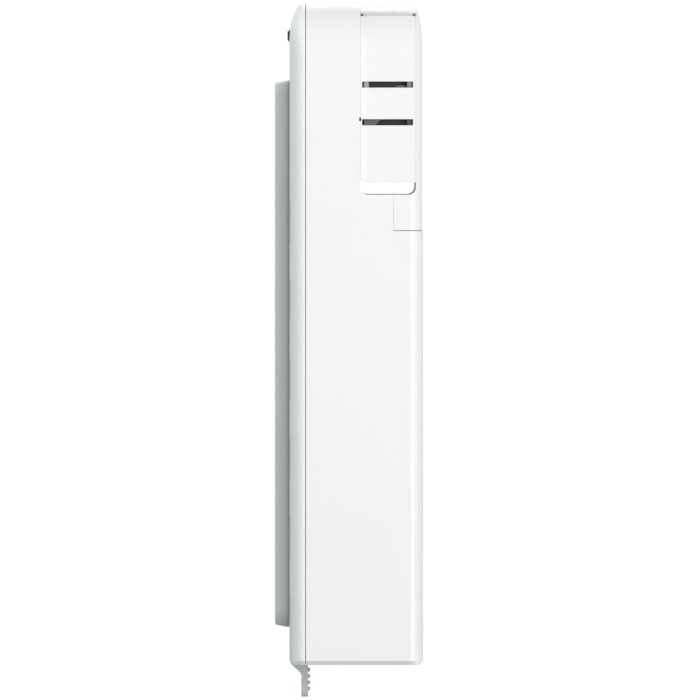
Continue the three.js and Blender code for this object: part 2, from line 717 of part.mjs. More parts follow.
function acTerminals() {
  const { half, front, bottom, top, count, pitch } = TERMINALS;
  let block = box(-half, half, BULKHEAD.front + GAP, front, bottom, top);
  for (let i = 0; i < count; i++) {
    const x = (i - (count - 1) / 2) * pitch;
    const { z, radius, floor } = TERMINAL_SCREW;
    const screw = rodAlongDepth(floor, front + 1, x, z, radius, 10);
    const mouth = TERMINAL_MOUTH;
    const opening = box(x - mouth.half, x + mouth.half, mouth.floor, front + 1, bottom - 1, mouth.top);
    block = block.subtract(screw).subtract(opening);
  }
  return block;
}

const EARTH = { left: 90, right: 180, back: 124, front: 134, bottom: 720, top: 734 };
const EARTH_FOOT = { lefts: [95, 165], wide: 10 };
const EARTH_HOLE = { first: 105, pitch: 15, count: 5, radius: 3.2, floor: 128 };

function earthBar() {
  const { left, right, back, front, bottom, top } = EARTH;
  let bar = box(left, right, back, front, bottom, top);
  for (const x of EARTH_FOOT.lefts) {
    bar = bar.add(box(x, x + EARTH_FOOT.wide, BULKHEAD.front + GAP, back + 1, bottom + 2, top - 2));
  }
  const { first, pitch, count, radius, floor } = EARTH_HOLE;
  for (let i = 0; i < count; i++) {
    const x = first + i * pitch;
    bar = bar.subtract(rodAlongDepth(floor, front + 1, x, (bottom + top) / 2, radius, 8));
  }
  return bar;
}

// ---- Chassis and cells ----
const CHASSIS = { back: 47, front: 49, half: 262, bottom: 10, top: 880 };
const SHELF = { half: 216, front: 172, below: 4, thick: 2 };
const SINK_WINDOW = { half: 150, bottom: 640, top: 860 };

function chassis() {
  const { back, front, half, bottom, top } = CHASSIS;
  let shape = box(-half, half, back, front, bottom, top);
  for (const z of Object.values(MODULES)) {
    const low = z - SHELF.below;
    shape = shape.add(box(-SHELF.half, SHELF.half, back, SHELF.front, low, low + SHELF.thick));
  }
  const opening = SINK_WINDOW;
  shape = shape.subtract(box(-opening.half, opening.half, back - 1, front + 1, opening.bottom, opening.top));
  for (const x of [-CASE_SCREW.x, CASE_SCREW.x]) {
    shape = shape.subtract(rodAlongDepth(back - 1, front + 4, x, CASE_SCREW.z, CASE_SCREW.radius + GAP, 12));
  }
  return shape;
}

const POST = { half: 9, tall: 4, inset: 30 }; // the cell's terminals
const VENT = { radius: 8, deep: 0.8 };
const cellFront = CELL.back + CELL.deep;

function cell(column, bottom) {
  const x = (column - (CELL.count - 1) / 2) * CELL.thick;
  const half = CELL.thick / 2 - CELL_GAP;
  const can = box(x - half, x + half, CELL.back, cellFront, bottom, bottom + CELL.tall);
  const post = (z) =>
    box(x - POST.half, x + POST.half, cellFront - 1, cellFront + POST.tall, z - POST.half, z + POST.half);
  const vent = rodAlongDepth(cellFront - VENT.deep, cellFront + 1, x, bottom + CELL.tall / 2, VENT.radius, 8);
  return join(can, post(bottom + POST.inset), post(bottom + CELL.tall - POST.inset)).subtract(vent);
}

const CONTACTS = { half: 198, sheet: 2, margin: 8 };
const BUSBAR = { half: 36, tall: 20, proud: 4 };

// The sheet over a row's terminals, with a busbar from each cell to the next, high and low by turns.
function contactBoard(bottom) {
  const back = cellFront + POST.tall + GAP;
  const { half, sheet, margin } = CONTACTS;
  let shape = box(-half, half, back, back + sheet, bottom + margin, bottom + CELL.tall - margin);
  for (let i = 0; i + 1 < CELL.count; i++) {
    const x = (i - (CELL.count - 2) / 2) * CELL.thick;
    const z = bottom + (i % 2 ? POST.inset : CELL.tall - POST.inset);
    const [low, high] = [z - BUSBAR.tall / 2, z + BUSBAR.tall / 2];
    shape = shape.add(box(x - BUSBAR.half, x + BUSBAR.half, back + 1, back + BUSBAR.proud, low, high));
  }
  return shape;
}

const moduleEdge = (CELL.count * CELL.thick) / 2;
const END_PLATE = { gap: 0.6, thick: 11.4 };
const END_POCKET = { floor: 5, margin: 12, tall: 64, above: [12, 84] };

// The plate that clamps the end of a row, with two pockets in its outer face.
function endPlate(side, bottom) {
  const span = (from, to) => [side * (moduleEdge + from), side * (moduleEdge + to)].sort((a, b) => a - b);
  const { gap, thick } = END_PLATE;
  const { floor, margin, tall } = END_POCKET;
  let shape = box(...span(gap, gap + thick), CELL.back, cellFront, bottom, bottom + CELL.tall);
  for (const above of END_POCKET.above) {
    const z = bottom + above;
    const xs = span(floor, gap + thick + 2);
    shape = shape.subtract(box(...xs, CELL.back + margin, cellFront - margin, z, z + tall));
  }
  return shape;
}

// ---- Electronics ----
const SINK = { half: 148, back: 50.5, front: 56, bottom: 642, top: 858 };
const FIN = { count: 20, span: 280, thick: 3, tip: 26, margin: 4 };

function heatSink() {
  let shape = box(-SINK.half, SINK.half, SINK.back, SINK.front, SINK.bottom, SINK.top);
  for (let i = 0; i < FIN.count; i++) {
    const x = FIN.span * (i / (FIN.count - 1) - 0.5);
    const [left, right] = [x - FIN.thick / 2, x + FIN.thick / 2];
    const [low, high] = [SINK.bottom + FIN.margin, SINK.top - FIN.margin];
    shape = shape.add(box(left, right, FIN.tip, SINK.back + 0.5, low, high));
  }
  return shape;
}

const STAND_OFF = 6; // side of each square post that holds a board off the chassis
const postBack = CHASSIS.front + GAP;

// A circuit board on four posts, one in each corner.
function boardOnPosts({ left, right, bottom, top, back, front }) {
  let shape = box(left, right, back, front, bottom, top);
  const inset = 4;
  for (const x of [left + inset, right - inset - STAND_OFF]) {
    for (const z of [bottom + inset, top - inset - STAND_OFF]) {
      shape = shape.add(box(x, x + STAND_OFF, postBack, back + 1, z, z + STAND_OFF));
    }
  }
  return shape;
}

// A component on a board: its box, or its can with its round end to the room.
const component = (board, left, right, proud, bottom, top) =>
  box(left, right, board.front - 0.5, board.front + proud, bottom, top);

function inverterBoard() {
  const board = { left: -190, right: 190, bottom: 625, top: 870, back: 62, front: 64 };
  const transformer = component(board, -150, -90, 22, 780, 850);
  const filter = component(board, -70, -20, 34, 790, 840);
  const controller = component(board, 60, 150, 10, 650, 700);
  const relays = component(board, 100, 170, 28, 780, 850);
  const can = { radius: 15, proud: 40, z: 680, pitch: 35, first: -150 };
  const capacitors = [0, 1, 2].map((i) => {
    const x = can.first + i * can.pitch;
    return rodAlongDepth(board.front - 0.5, board.front + can.proud, x, can.z, can.radius, 12);
  });
  return join(boardOnPosts(board), transformer, filter, controller, relays, ...capacitors);
}

const CHOKE = { x: 30, d: 78, z: 745, ring: 28, wire: 12, sides: 8, turns: 18 };

function filterChoke() {
  const profile = [];
  for (let i = 0; i <= CHOKE.sides; i++) {
    const angle = (i / CHOKE.sides) * Math.PI * 2;
    profile.push(new THREE.Vector2(CHOKE.ring + CHOKE.wire * Math.cos(angle), CHOKE.wire * Math.sin(angle)));
  }
  return solid(new THREE.LatheGeometry(profile, CHOKE.turns).translate(CHOKE.x, -CHOKE.d, CHOKE.z));
}

function bmsBoard() {
  const board = { left: -250, right: -70, bottom: 410, top: 560, back: 58, front: 59.6 };
  return join(
    boardOnPosts(board),
    component(board, -236, -200, 5, 500, 540),
    component(board, -180, -120, 11, 520, 545),
    component(board, -110, -84, 7, 430, 530),
    component(board, -235, -130, 9, 422, 434),
    component(board, -175, -145, 3, 455, 485),
  );
}

const CONTACTOR = { half: 30, z: 460, foot: 55, radius: 26, top: 100, post: 12, postRadius: 5, postTop: 108 };

function contactor() {
  const { half, z, foot, radius, top, post, postRadius, postTop } = CONTACTOR;
  const base = box(-half, half, postBack, foot, z - 40, z + 40);
  const coil = rodAlongDepth(foot - 1, top, 0, z, radius, 16);
  const posts = [-post, post].map((x) => rodAlongDepth(top - 1, postTop, x, z, postRadius, 10));
  return join(base, coil, ...posts);
}

const FUSE = { left: 75, right: 175, d: 72, z: 470, radius: 16, cap: 20, blade: [2, 8], foot: [12, 10] };

// A cartridge fuse whose blades stand on two feet.
function mainFuse() {
  const { left, right, d, z, radius, cap } = FUSE;
  const [bladeThick, bladeHalf] = FUSE.blade;
  const [footWide, footHalf] = FUSE.foot;
  const barrel = rodAlongX(left + cap, right - cap, d, z, radius, 14);
  const blades = box(left, right, d - bladeThick, d + bladeThick, z - bladeHalf, z + bladeHalf);
  const feet = [left + 3, right - 3 - footWide].map((x) =>
    box(x, x + footWide, postBack, d - 1, z - footHalf, z + footHalf),
  );
  return join(barrel, blades, ...feet);
}

// ---- Put it together ----
add("wall_plate", wallPlate(), PLATE_GREY);
add("hanger_hook_left", hangerHook(-HOOK.outer, -HOOK.inner), ZINC);
add("hanger_hook_right", hangerHook(HOOK.inner, HOOK.outer), ZINC);
add("rear_shell", rearShell(), MINT);
add("rear_plug_left", rearPlug(-PLUG.x), RUBBER);
add("rear_plug_right", rearPlug(PLUG.x), RUBBER);
add("case_screw_left", caseScrew(-CASE_SCREW.x), STEEL);
add("case_screw_right", caseScrew(CASE_SCREW.x), STEEL);
add("release_lever", releaseLever(), LEVER_GREY);
const leverPinEnd = POCKET.half + 1.5;
const leverPin = rodAlongX(-leverPinEnd, leverPinEnd, LEVER.pivotDepth, LEVER.pivotZ, leverPivotRadius, 12);
add("lever_pin", leverPin, STEEL);
add("lever_spring", leverSpring(), STEEL);
add("case_seal", ring(SEAL.inset, SEAL.inset + SEAL.width, SEAL.back, SEAL.front), RUBBER);
add("main_housing", mainHousing(), WHITE);
add("upper_cover", upperCover(), WHITE);
add("status_light", statusLight(), LIGHT_PIPE);

const sides = { left: mirrorX, right: (shape) => shape };
for (const [side, placed] of Object.entries(sides)) {
  add(`${side}_flap`, placed(flap()), WHITE);
  add(`${side}_flap_pin`, placed(flapPinRod()), STEEL);
  add(`${side}_hinge_rail`, placed(hingeRail()), DARK_GREY);
  add(`cover_screw_${side}`, placed(earScrew()), STEEL);
}

add("wiring_tray", wiringTray(), ZINC);
add("switch_plate", switchPlate(), BLACK);
add("isolator_body", isolatorBody(), BLACK);
add("isolator_knob", isolatorKnob(), LEVER_GREY);
add("power_button", powerButton(), RED);
add("port_panel", portPanel(), BLACK);
add("ac_terminals", acTerminals(), DARK_GREY);
add("earth_bar", earthBar(), BRASS);

add("chassis", chassis(), ZINC);
const rows = Object.entries(MODULES);
rows.forEach(([row, bottom], r) => {
  for (let column = 0; column < CELL.count; column++) {
    const number = String(r * CELL.count + column + 1).padStart(2, "0");
    add(`cell_${number}`, cell(column, bottom), CELL_BLUE);
  }
  add(`${row}_end_plate_left`, endPlate(-1, bottom), ALUMINIUM);
  add(`${row}_end_plate_right`, endPlate(1, bottom), ALUMINIUM);
  add(`${row}_contact_board`, contactBoard(bottom), COPPER);
});
add("heat_sink", heatSink(), ALUMINIUM);
add("inverter_board", inverterBoard(), BOARD_GREEN);
add("filter_choke", filterChoke(), COPPER);
add("bms_board", bmsBoard(), BOARD_GREEN);
add("main_contactor", contactor(), BLACK);
add("main_fuse", mainFuse(), ALUMINIUM);

// The origin is the middle of the wall plate's back face.
unit.position.z = -(PLATE.bottom + PLATE.top) / 2;

export default unit;
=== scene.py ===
"""Looks for the wall battery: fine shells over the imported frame, procedural finishes and a plain studio.

Shapes are worked out in millimetres as (x, d, z): x across the unit, d the depth from the wall towards the
room, z the height above the foot of the case. place() turns them into the frame's metres.
"""

import json
import math

import bmesh
import bpy
from mathutils import Matrix, Vector


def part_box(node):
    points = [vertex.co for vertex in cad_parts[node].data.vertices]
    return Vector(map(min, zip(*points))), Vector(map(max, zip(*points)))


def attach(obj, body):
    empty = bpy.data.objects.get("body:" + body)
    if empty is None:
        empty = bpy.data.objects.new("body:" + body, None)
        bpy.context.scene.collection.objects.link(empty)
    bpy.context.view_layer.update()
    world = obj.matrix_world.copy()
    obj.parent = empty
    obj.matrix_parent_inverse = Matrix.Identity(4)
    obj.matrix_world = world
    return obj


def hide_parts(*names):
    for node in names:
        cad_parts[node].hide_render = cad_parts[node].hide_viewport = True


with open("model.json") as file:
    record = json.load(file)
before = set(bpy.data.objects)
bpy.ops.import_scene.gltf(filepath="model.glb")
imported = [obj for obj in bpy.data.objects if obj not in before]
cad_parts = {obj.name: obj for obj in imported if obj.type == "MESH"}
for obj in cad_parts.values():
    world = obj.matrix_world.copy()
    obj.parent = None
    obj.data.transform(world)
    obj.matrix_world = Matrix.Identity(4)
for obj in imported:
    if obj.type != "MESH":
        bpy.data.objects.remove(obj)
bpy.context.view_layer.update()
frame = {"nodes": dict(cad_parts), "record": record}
record = frame["record"]
body_of = {node: body for body, nodes in record["behaviour"]["bodies"].items() for node in nodes}

# ---- Sizes, from the frame ----
MM = 0.001


def node_box(node):
    """A CAD node's box in (x, d, z) millimetres above the foot: lowest and highest of each."""
    low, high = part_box(node)
    x_span = (low.x / MM, high.x / MM)
    d_span = (-high.y / MM, -low.y / MM)
    z_span = (low.z / MM - FOOT_Z, high.z / MM - FOOT_Z)
    return x_span, d_span, z_span


FOOT_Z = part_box("main_housing")[0].z / MM
(_, HALF_WIDTH), (_, HOUSING_FRONT), (_, HEIGHT) = node_box("main_housing")
(_, _), (REAR_BACK, REAR_FRONT), _ = node_box("rear_shell")
(_, _), (SEAL_BACK, SEAL_FRONT), _ = node_box("case_seal")
(_, _), (_, COVER_FRONT), (COVER_BOTTOM, _) = node_box("upper_cover")
(_, FLAP_X), (FLAP_BACK, FLAP_FRONT), (FLAP_BOTTOM, _) = node_box("right_flap")
(_, PLATE_HALF), (_, PLATE_DEPTH), (PLATE_BOTTOM, PLATE_TOP) = node_box("wall_plate")
(_, LEVER_HALF), (_, _), (LEVER_TIP, _) = node_box("release_lever")
(PIN_X0, PIN_X1), _, (PIN_Z0, PIN_Z1) = node_box("right_flap_pin")
(_, _), (_, _), (LIGHT_BOTTOM, LIGHT_TOP) = node_box("status_light")

GAP = 0.3  # clearance between neighbouring pieces in the CAD
SHOULDER = 0.1286 * 2 * HALF_WIDTH  # radius of the round top corners
CENTRE_X = HALF_WIDTH - SHOULDER
CENTRE_Z = HEIGHT - SHOULDER
FOOT = 5.6  # chamfer along the foot
FRONT_EDGE = HOUSING_FRONT - 18.2  # where the front's soft edge begins
FRONT_DRAW = 56  # how far the soft front edge pulls in
REAR_DRAW = 53  # and the rear shell's
HOUSING_WALL = 3
REAR_WALL = 2.5
COVER_BACK = 166.5
BAY_BACK = FLAP_BACK - 0.9  # the side window
BAY_FRONT = FLAP_FRONT + 1
BAY_BOTTOM = FLAP_BOTTOM - 16.6
BAY_CORNER = 10
INSET = HALF_WIDTH - FLAP_X  # the flap and its band lie this far in
SEAM = 0.15  # visible joint between the white pieces
COVER_SEAM = 0.8  # the wider joint along the cover's lower edge
SEAL_SQUEEZE = 0.45  # how far the closed case presses the seal in
STOP_DEEP, STOP_WIDE = 4, 1.8  # the slot in the jamb with the flap's rubber stop
STOP_BOTTOM, STOP_TOP = FLAP_BOTTOM + 86.2, FLAP_BOTTOM + 91
FLAP_SHEET = 2.5
RIB_SPANS = ((FLAP_BACK + 4.1, FLAP_BACK + 10.8), (FLAP_FRONT - 11, FLAP_FRONT - 4.5))
RIB_BOTTOM = FLAP_BOTTOM + 62.5
LOUVRES = ((FLAP_BOTTOM + 80.2, 3.6), (FLAP_BOTTOM + 133, 1))  # foot, and the cut's depth past the sheet
LOUVRE_HIGH = 8.6
FLANGE = (1, 12)  # the rims that face each other across the seal: outer and inner inset
JAMB = (1, 20)  # the wall-side edge of the window, outer and inner inset
PIN = ((PIN_X0 + PIN_X1) / 2, (PIN_Z0 + PIN_Z1) / 2)
PIN_REACH = math.hypot(PIN[0] - CENTRE_X, PIN[1] - CENTRE_Z)
PIN_ANGLE = math.degrees(math.atan2(PIN[1] - CENTRE_Z, PIN[0] - CENTRE_X))
HINGE_GAP = math.degrees(3.6 / PIN_REACH)  # the gap each side of the pin, as an angle
PANEL_END = PIN_ANGLE - HINGE_GAP
BAND_START = PIN_ANGLE + HINGE_GAP
HINGE_SHADE_END = 66  # degrees
WIDE = HALF_WIDTH + 20

EYE_DEPTH = 65  # the camera's place, as a depth from the wall
EYE_HEIGHT = 720  # and as a height above the foot

SHOULDER_STEPS = 40
EDGE_STEPS = 18


def place(x, d, z):
    return Vector((x, -d, z + FOOT_Z)) * MM


# ---- Mesh tools ----
def link(name, mesh):
    piece = bpy.data.objects.new(name, mesh)
    bpy.context.scene.collection.objects.link(piece)
    return piece


def from_bmesh(name, shape):
    bmesh.ops.recalc_face_normals(shape, faces=shape.faces)
    mesh = bpy.data.meshes.new(name)
    shape.to_mesh(mesh)
    shape.free()
    return link(name, mesh)


def loft(sections, name="loft"):
    """A closed body through outlines of equal length, each a list of (x, z) at its own depth d."""
    shape = bmesh.new()
    rings = [[shape.verts.new(place(x, d, z)) for x, z in outline] for d, outline in sections]
    for low, high in zip(rings, rings[1:]):
        for k in range(len(low)):
            n = (k + 1) % len(low)
            shape.faces.new((low[k], low[n], high[n], high[k]))
    shape.faces.new(rings[0])
    shape.faces.new(rings[-1])
    return from_bmesh(name, shape)


def prism(outline, axis, start, end, name="prism"):
    """An outline extruded along "x" (drawn in d, z) or along "d" (drawn in x, z)."""
    if axis == "x":
        ends = [[place(level, a, b) for a, b in outline] for level in (start, end)]
    else:
        ends = [[place(a, level, b) for a, b in outline] for level in (start, end)]
    shape = bmesh.new()
    low, high = [[shape.verts.new(p) for p in points] for points in ends]
    for k in range(len(low)):
        n = (k + 1) % len(low)
        shape.faces.new((low[k], low[n], high[n], high[k]))
    shape.faces.new(low)
    shape.faces.new(high)
    return from_bmesh(name, shape)


def box(x0, x1, d0, d1, z0, z1):
    return prism([(x0, z0), (x1, z0), (x1, z1), (x0, z1)], "d", d0, d1)


def arc(cx, cy, radius, start, end, steps):
    """Points on a circle from angle start to end, in degrees."""
    angles = [math.radians(start + (end - start) * i / steps) for i in range(steps + 1)]
    return [(cx + radius * math.cos(a), cy + radius * math.sin(a)) for a in angles]


def rod(axis, start, end, a, b, radius, segments=48):
    circle = arc(a, b, radius, 0, 360 * (segments - 1) / segments, segments - 1)
    return prism(circle, axis, start, end)


def bake(piece):
    evaluated = piece.evaluated_get(bpy.context.evaluated_depsgraph_get())
    mesh = bpy.data.meshes.new_from_object(evaluated)
    piece.modifiers.clear()
    old = piece.data
    piece.data = mesh
    bpy.data.meshes.remove(old)


def combine(piece, tools, operation):
    for tool in tools:
        modifier = piece.modifiers.new("combine", "BOOLEAN")
        modifier.operation = operation
        modifier.solver = "EXACT"
        modifier.object = tool
        bake(piece)
        mesh = tool.data
        bpy.data.objects.remove(tool)
        bpy.data.meshes.remove(mesh)
    return piece


def cut(piece, *tools):
    return combine(piece, tools, "DIFFERENCE")


def join(piece, *tools):
    return combine(piece, tools, "UNION")


def keep(piece, *tools):
    return combine(piece, tools, "INTERSECT")


def soften(piece, width, segments=2, angle=35):
    """Rounds the sharp edges by "width" millimetres."""
    modifier = piece.modifiers.new("edges", "BEVEL")
    modifier.width = width * MM
    modifier.segments = segments
    modifier.limit_method = "ANGLE"
    modifier.angle_limit = math.radians(angle)
    modifier.use_clamp_overlap = True


def shade(piece, angle=28):
    """Smooth shading with creases at edges sharper than "angle", led by the large faces."""
    bake(piece)
    piece.data.shade_smooth()
    piece.data.set_sharp_from_angle(angle=math.radians(angle))
    modifier = piece.modifiers.new("normals", "WEIGHTED_NORMAL")
    modifier.keep_sharp = True
    modifier.weight = 100


def stand_for(piece, node, material, soft=0.4):
    """Finishes a fine piece that takes the place of a CAD node."""
    piece.name = node + "_skin"
    piece.data.name = piece.name
    if soft:
        soften(piece, soft)
    shade(piece)
    piece.data.materials.clear()
    piece.data.materials.append(material)
    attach(piece, body_of[node])
    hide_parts(node)
    return piece


def dress(node, material, soft=0.0, segments=2):
    """Gives a CAD node its finish and, where asked, rounded edges."""
    piece = frame["nodes"][node]
    piece.data.materials.clear()
    piece.data.materials.append(material)
    weld = piece.modifiers.new("weld", "WELD")
    weld.merge_threshold = 0.01 * MM
    flat = piece.modifiers.new("flat", "DECIMATE")
    flat.decimate_type = "DISSOLVE"
    flat.angle_limit = math.radians(0.5)
    if soft:
        soften(piece, soft, segments)
    return piece


# ---- Node tools for the materials ----
class Finish:
    """One procedural material, built up a layer at a time on a Principled shader."""

    def __init__(self, name, color, roughness, metallic=0.0):
        self.material = bpy.data.materials.new(name)
        self.material.use_nodes = True
        self.tree = self.material.node_tree
        self.shader = self.tree.nodes["Principled BSDF"]
        self.shader.inputs["Metallic"].default_value = metallic
        self.place = self.tree.nodes.new("ShaderNodeTexCoord").outputs["Object"]
        self.color = self.constant_color(color)
        self.roughness = self.constant(roughness)
        self.normal = None

    def node(self, kind, **settings):
        made = self.tree.nodes.new(kind)
        for key, value in settings.items():
            setattr(made, key, value)
        return made

    def wire(self, source, target):
        if hasattr(source, "node"):
            self.tree.links.new(source, target)
        else:
            target.default_value = source

    def constant(self, value):
        made = self.node("ShaderNodeValue")
        made.outputs[0].default_value = value
        return made.outputs[0]

    def constant_color(self, color):
        made = self.node("ShaderNodeRGB")
        made.outputs[0].default_value = (*linear(color), 1)
        return made.outputs[0]

    def math(self, operation, a, b=0.0, c=0.0):
        made = self.node("ShaderNodeMath", operation=operation)
        for target, source in zip(made.inputs, (a, b, c)):
            self.wire(source, target)
        return made.outputs[0]

    def ramp(self, value, low, high, out_low=0.0, out_high=1.0):
        made = self.node("ShaderNodeMapRange")
        for target, source in zip(made.inputs, (value, low, high, out_low, out_high)):
            self.wire(source, target)
        return made.outputs[0]

    def stretched(self, x, y, z):
        made = self.node("ShaderNodeMapping")
        self.wire(self.place, made.inputs["Vector"])
        made.inputs["Scale"].default_value = (x, y, z)
        return made.outputs[0]

    def noise(self, size, detail=3.0, where=None):
        """Noise whose features are about "size" millimetres across, from 0 to 1."""
        made = self.node("ShaderNodeTexNoise")
        self.wire(where or self.place, made.inputs["Vector"])
        made.inputs["Scale"].default_value = 1 / (size * MM)
        made.inputs["Detail"].default_value = detail
        made.inputs["Roughness"].default_value = 0.5
        return made.outputs[0]

    def mix(self, share, a, b):
        made = self.node("ShaderNodeMix", data_type="RGBA")
        self.wire(share, made.inputs[0])
        self.wire(a, made.inputs[6])
        self.wire(b, made.inputs[7])
        return made.outputs[2]

    def tint(self, share, color):
        """Lays a second colour over the first, by "share"."""
        self.color = self.mix(share, self.color, self.constant_color(color))

    def mottle(self, size, amount, color):
        """Slow, faint patches of another colour."""
        self.tint(self.ramp(self.noise(size, 2.0), 0.35, 0.75, 0.0, amount), color)

    def rough_patches(self, size, spread):
        patches = self.ramp(self.noise(size), 0.3, 0.7, -spread, spread)
        self.roughness = self.math("ADD", self.roughness, patches)

    def bump(self, height, depth):
        """Adds relief "depth" millimetres deep from a height between 0 and 1."""
        made = self.node("ShaderNodeBump")
        self.wire(height, made.inputs["Height"])
        made.inputs["Distance"].default_value = depth * MM
        if self.normal is not None:
            self.wire(self.normal, made.inputs["Normal"])
        self.normal = made.outputs[0]

    def round_edges(self, radius):
        """Lets light catch the edges as if they had this radius, in millimetres."""
        made = self.node("ShaderNodeBevel", samples=4)
        made.inputs["Radius"].default_value = radius * MM
        self.normal = made.outputs[0]

    def edge_mask(self, radius):
        """1 on sharp edges, 0 on faces."""
        rounded = self.node("ShaderNodeBevel", samples=4)
        rounded.inputs["Radius"].default_value = radius * MM
        geometry = self.node("ShaderNodeNewGeometry")
        dot = self.node("ShaderNodeVectorMath", operation="DOT_PRODUCT")
        self.wire(rounded.outputs[0], dot.inputs[0])
        self.wire(geometry.outputs["Normal"], dot.inputs[1])
        return self.ramp(dot.outputs["Value"], 0.995, 0.9, 0.0, 1.0)

    def wear(self, radius, amount, color):
        """Edges rubbed to another colour, broken up by noise."""
        broken = self.ramp(self.noise(6, 4.0), 0.35, 0.65, 0.0, amount)
        self.tint(self.math("MULTIPLY", self.edge_mask(radius), broken), color)

    def hollow_shade(self, reach, amount, color):
        """Dust and shade that gather in corners within "reach" millimetres."""
        made = self.node("ShaderNodeAmbientOcclusion", samples=4)
        made.inputs["Distance"].default_value = reach * MM
        self.tint(self.ramp(made.outputs["AO"], 0.9, 0.3, 0.0, amount), color)

    def along(self, axis):
        """The place in millimetres: "x" out from the middle, "d" from the wall or "z" above the foot."""
        split = self.node("ShaderNodeSeparateXYZ")
        self.wire(self.place, split.inputs[0])
        if axis == "x":
            return self.math("MULTIPLY", self.math("ABSOLUTE", split.outputs[0]), 1 / MM)
        if axis == "d":
            return self.math("MULTIPLY", split.outputs[1], -1 / MM)
        return self.math("MULTIPLY_ADD", split.outputs[2], 1 / MM, -FOOT_Z)

    def between(self, value, low, high, soft=0.1):
        """1 where the value lies between low and high, 0 outside."""
        above = self.ramp(value, low - soft, low + soft)
        below = self.ramp(value, high - soft, high + soft, 1.0, 0.0)
        return self.math("MULTIPLY", above, below)

    def from_shoulder(self):
        """Distance and angle, in degrees, about the nearer shoulder's centre line."""
        across = self.math("MAXIMUM", self.math("SUBTRACT", self.along("x"), CENTRE_X), 0.0)
        up = self.math("MAXIMUM", self.math("SUBTRACT", self.along("z"), CENTRE_Z), 0.0)
        squares = self.math("ADD", self.math("MULTIPLY", across, across), self.math("MULTIPLY", up, up))
        angle = self.math("MULTIPLY", self.math("ARCTAN2", up, across), math.degrees(1))
        return self.math("SQRT", squares), angle

    def hinge_shade(self, amount, color):
        """Shade in the shallow valley over the flap's hinge, deepest against the flap."""
        reach, angle = self.from_shoulder()
        band = self.between(reach, SHOULDER - INSET - 7, SHOULDER - INSET + 0.6)
        fade = self.ramp(angle, PANEL_END, HINGE_SHADE_END, amount, 0.0)
        side = self.math("MULTIPLY", band, self.between(angle, PANEL_END + 0.05, HINGE_SHADE_END, 0.02))
        zone = self.math("MULTIPLY", side, self.between(self.along("d"), BAY_BACK, BAY_FRONT))
        self.tint(self.math("MULTIPLY", zone, fade), color)

    def done(self, **inputs):
        self.wire(self.color, self.shader.inputs["Base Color"])
        self.wire(self.roughness, self.shader.inputs["Roughness"])
        if self.normal is not None:
            self.wire(self.normal, self.shader.inputs["Normal"])
        for name, value in inputs.items():
            self.shader.inputs[name.replace("_", " ")].default_value = value
        return self.material


def linear(color):
    """An sRGB colour of 0 to 255 levels as linear light."""
    levels = [c / 255 for c in color]
    return [c / 12.92 if c <= 0.04045 else ((c + 0.055) / 1.055) ** 2.4 for c in levels]


# ---- Materials ----
def white_finish(name):
    finish = Finish(name, (244, 244, 246), 0.36)
    finish.mottle(160, 0.25, (241, 242, 244))
    finish.hinge_shade(0.73, (196, 198, 200))
    finish.rough_patches(40, 0.04)
    finish.round_edges(0.8)
    finish.bump(finish.noise(0.9, 2.0), 0.012)
    return finish


def case_plastic():
    """White plastic, with the flaps' black rubber stops in the jamb's slots."""
    finish = white_finish("case_plastic")
    inside = finish.between(finish.along("x"), 0, HALF_WIDTH - 1)
    slot_d = finish.between(finish.along("d"), BAY_BACK - STOP_WIDE, BAY_BACK + 0.5)
    slot_z = finish.between(finish.along("z"), STOP_BOTTOM, STOP_TOP)
    finish.tint(finish.math("MULTIPLY", inside, finish.math("MULTIPLY", slot_d, slot_z)), (34, 36, 38))
    return finish.done(IOR=1.46)


def flap_plastic():
    """White plastic outside; the ribs behind the louvres get a painted shade of grey, darker below the
    upper louvre and towards the room.
    """
    finish = white_finish("flap_plastic")
    reach, _ = finish.from_shoulder()
    ribs = finish.between(reach, 0, SHOULDER - INSET - FLAP_SHEET - 0.3)
    # Painted shade: the white ribs behind the louvres are greyed as if in shadow.
    finish.tint(ribs, (94, 96, 98))
    upper = finish.between(finish.along("z"), FLAP_BOTTOM + 115, HEIGHT, 1.0)
    finish.tint(finish.math("MULTIPLY", ribs, upper), (164, 166, 168))
    forward = finish.ramp(finish.along("d"), FLAP_BACK + 20, FLAP_FRONT - 8, 0.0, 0.45)
    finish.tint(finish.math("MULTIPLY", ribs, forward), (70, 72, 74))
    return finish.done(IOR=1.46)


def rear_paint():
    """A faint green tint, and below the shoulder a painted shade that deepens towards the wall."""
    finish = Finish("rear_paint", (249, 254, 254), 0.42)
    finish.mottle(120, 0.3, (244, 251, 250))
    # Painted shade: darker towards the wall, everywhere below the round shoulders.
    deep = finish.ramp(finish.along("d"), REAR_BACK + 4, REAR_FRONT - 8, 0.5, 0.0)
    lower = finish.ramp(finish.along("z"), CENTRE_Z + 4, CENTRE_Z + 50, 1.0, 0.0)
    finish.tint(finish.math("MULTIPLY", deep, lower), (206, 214, 213))
    finish.rough_patches(30, 0.05)
    finish.round_edges(0.8)
    finish.bump(finish.noise(1.4, 3.0), 0.02)
    return finish.done(IOR=1.46)


def plate_powder_coat():
    """Light grey, with a painted shade that darkens it towards the room in two steps, deepest against the
    rear shell.
    """
    finish = Finish("plate_powder_coat", (216, 221, 221), 0.5)
    finish.mottle(90, 0.35, (209, 214, 215))
    # Painted shade towards the room, then a painted contact shadow next to the rear shell.
    finish.tint(finish.ramp(finish.along("d"), 3, PLATE_DEPTH - 6, 0.0, 0.4), (160, 165, 165))
    finish.tint(finish.ramp(finish.along("d"), PLATE_DEPTH - 6, PLATE_DEPTH, 0.0, 0.6), (112, 116, 116))
    finish.wear(1.2, 0.35, (224, 228, 228))
    finish.rough_patches(25, 0.08)
    finish.bump(finish.noise(1.1, 3.0), 0.05)
    return finish.done(IOR=1.5)


